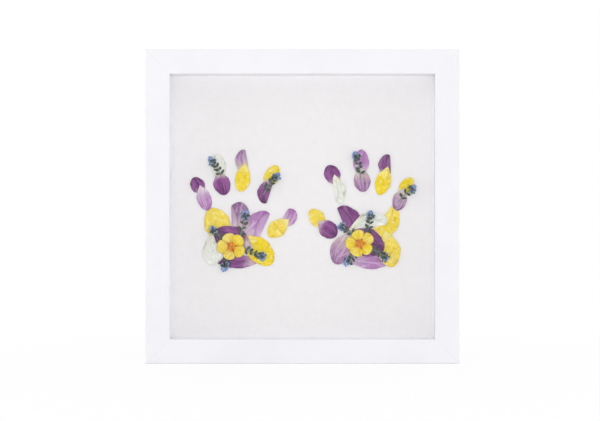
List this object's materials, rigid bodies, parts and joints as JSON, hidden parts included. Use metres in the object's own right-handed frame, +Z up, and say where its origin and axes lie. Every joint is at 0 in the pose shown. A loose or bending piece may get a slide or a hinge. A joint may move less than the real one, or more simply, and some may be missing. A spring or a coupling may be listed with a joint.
{
  "type": "deep picture frame with handprint art",
  "caption": "Square deep picture frame with mitred white rails, glass and spacers over a card of baby handprints in pressed petals, with turn buttons and hanging rings on the back.",
  "frame": {"origin": "centre of the box round the part, at its underside: the middle of the bottom rail's underside across X, halfway through the depth that the wall pads complete", "axes": "+X to the right seen from the front, -Y out of the glazed front, +Z up"},
  "size_m": [0.232, 0.024, 0.232],
  "materials": {
    "white_lacquered_wood": "satin white lacquer over a moulded wood rail",
    "white_spacer": "matt white painted strip",
    "clear_glass": "clear float glass, polished",
    "cotton_card": "soft white cotton card, matt",
    "backing_fibreboard": "bare hardboard",
    "nail_steel": "bare spring steel",
    "button_steel": "bright zinc plate",
    "screw_steel": "zinc plated, pan head",
    "hanger_nickel": "nickel plated steel",
    "pad_rubber": "pale translucent rubber, matt",
    "pressed_petals": "dried pressed petals, purple, lilac, yellow and white",
    "yellow_flowers": "dried pressed flowers with orange eyes",
    "green_sprigs": "dried pressed stems and leaflets, grey green",
    "blue_florets": "dried pressed florets, soft blue"
  },
  "bodies": {
    "frame": {"top_rail": "white_lacquered_wood", "bottom_rail": "white_lacquered_wood", "left_stile": "white_lacquered_wood", "right_stile": "white_lacquered_wood", "corner_v_nails": "nail_steel", "glass_pane": "clear_glass", "spacer_top": "white_spacer", "spacer_bottom": "white_spacer", "spacer_left": "white_spacer", "spacer_right": "white_spacer", "art_card": "cotton_card", "backing_board": "backing_fibreboard", "left_thumb_petals": "pressed_petals", "left_index_petals": "pressed_petals", "left_middle_petals": "pressed_petals", "left_ring_petals": "pressed_petals", "left_little_petals": "pressed_petals", "left_palm_petals": "pressed_petals", "left_flower_head": "yellow_flowers", "left_sprigs": "green_sprigs", "left_florets": "blue_florets", "right_thumb_petals": "pressed_petals", "right_index_petals": "pressed_petals", "right_middle_petals": "pressed_petals", "right_ring_petals": "pressed_petals", "right_little_petals": "pressed_petals", "right_palm_petals": "pressed_petals", "right_flower_head": "yellow_flowers", "right_sprigs": "green_sprigs", "right_florets": "blue_florets", "turn_button_screws": "screw_steel", "d_ring_strap_left": "hanger_nickel", "d_ring_strap_right": "hanger_nickel", "strap_screws": "screw_steel", "wall_pads": "pad_rubber"},
    "turn_button_1": {"turn_button_1": "button_steel"},
    "turn_button_2": {"turn_button_2": "button_steel"},
    "turn_button_3": {"turn_button_3": "button_steel"},
    "turn_button_4": {"turn_button_4": "button_steel"},
    "turn_button_5": {"turn_button_5": "button_steel"},
    "turn_button_6": {"turn_button_6": "button_steel"},
    "d_ring_left": {"d_ring_left": "hanger_nickel"},
    "d_ring_right": {"d_ring_right": "hanger_nickel"}
  },
  "joints": [
    {"name": "turn_button_1_turn", "type": "hinge", "parent": "frame", "child": "turn_button_1", "pos_m": [-0.052, 0.0075, 0.2255], "axis": [0, 1, 0], "continuous": true},
    {"name": "turn_button_2_turn", "type": "hinge", "parent": "frame", "child": "turn_button_2", "pos_m": [0.052, 0.0075, 0.2255], "axis": [0, 1, 0], "continuous": true},
    {"name": "turn_button_3_turn", "type": "hinge", "parent": "frame", "child": "turn_button_3", "pos_m": [-0.052, 0.0075, 0.0065], "axis": [0, 1, 0], "continuous": true},
    {"name": "turn_button_4_turn", "type": "hinge", "parent": "frame", "child": "turn_button_4", "pos_m": [0.052, 0.0075, 0.0065], "axis": [0, 1, 0], "continuous": true},
    {"name": "turn_button_5_turn", "type": "hinge", "parent": "frame", "child": "turn_button_5", "pos_m": [-0.1095, 0.0075, 0.116], "axis": [0, 1, 0], "continuous": true},
    {"name": "turn_button_6_turn", "type": "hinge", "parent": "frame", "child": "turn_button_6", "pos_m": [0.1095, 0.0075, 0.116], "axis": [0, 1, 0], "continuous": true},
    {"name": "d_ring_left_swing", "type": "hinge", "parent": "frame", "child": "d_ring_left", "pos_m": [-0.1095, 0.00995, 0.174], "axis": [1, 0, 0], "range_deg": [0, 180]},
    {"name": "d_ring_right_swing", "type": "hinge", "parent": "frame", "child": "d_ring_right", "pos_m": [0.1095, 0.00995, 0.174], "axis": [1, 0, 0], "range_deg": [0, 180]}
  ]
}
